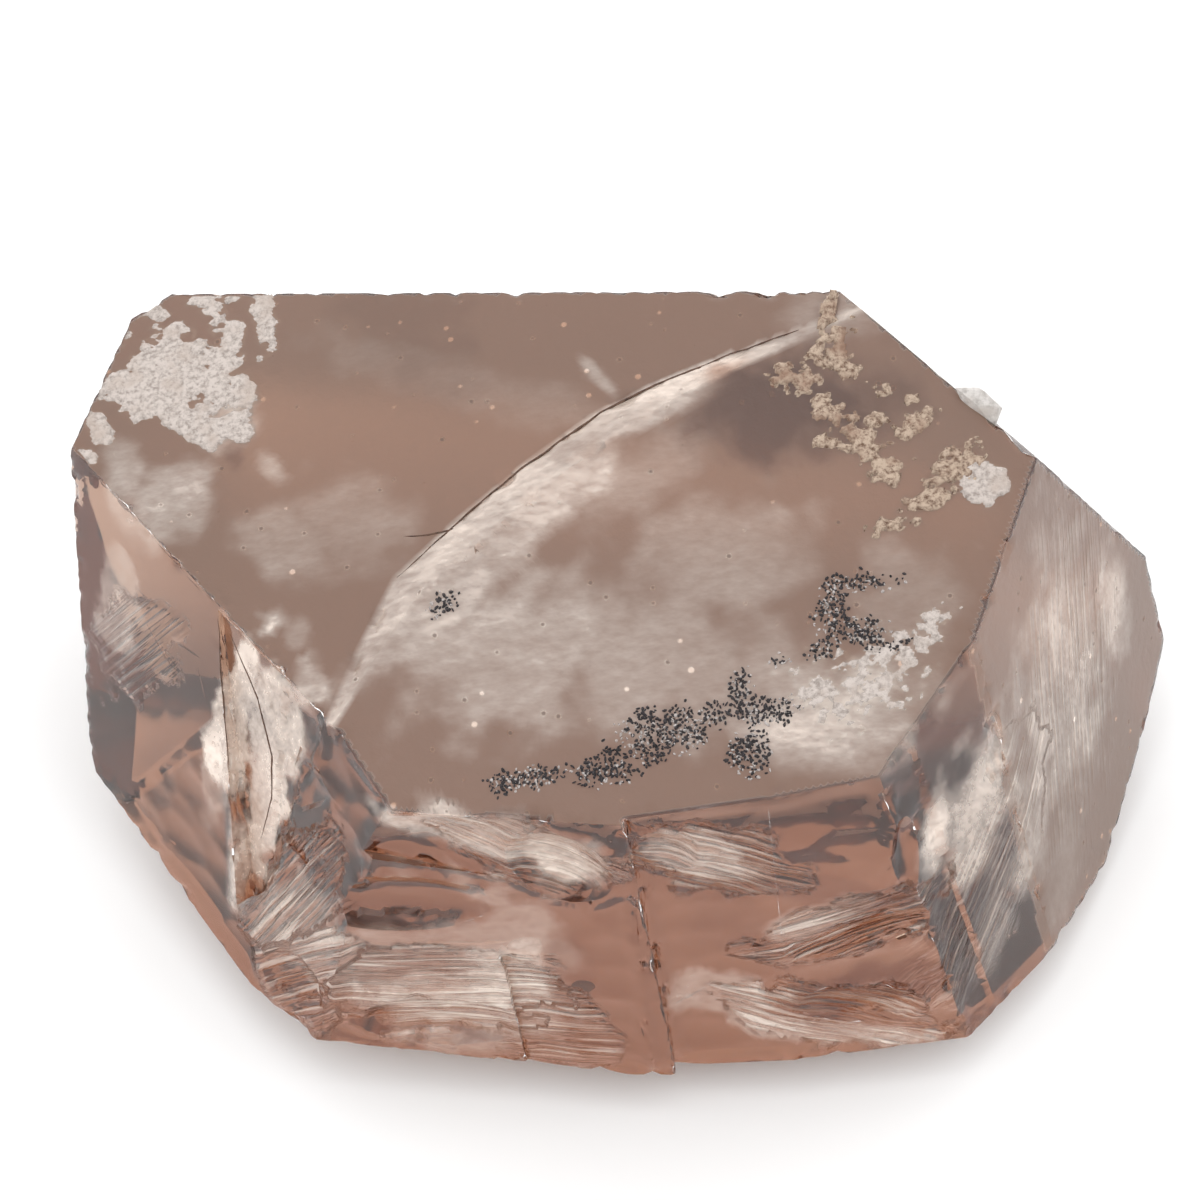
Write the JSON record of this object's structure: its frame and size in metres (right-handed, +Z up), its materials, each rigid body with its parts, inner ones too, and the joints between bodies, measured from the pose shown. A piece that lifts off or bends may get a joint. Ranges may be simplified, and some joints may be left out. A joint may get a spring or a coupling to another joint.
{
  "type": "topaz crystal",
  "caption": "Rough clear sherry-brown topaz crystal with flat faces, a ledge across its top, broken front and thin crust, lying on its side on a flat spot.",
  "frame": {"origin": "bottom centre of the crystal's box, at the height of the flat spot that it rests on", "axes": "+X along the crystal's length, to the right as the picture shows it; +Y away from its broken front; +Z up"},
  "size_m": [0.0462, 0.0298, 0.0229],
  "materials": {
    "sherry_topaz": "clear, silky on its grown faces and glassy where it broke"
  },
  "bodies": {
    "root": {"topaz_crystal": "sherry_topaz"}
  },
  "joints": []
}
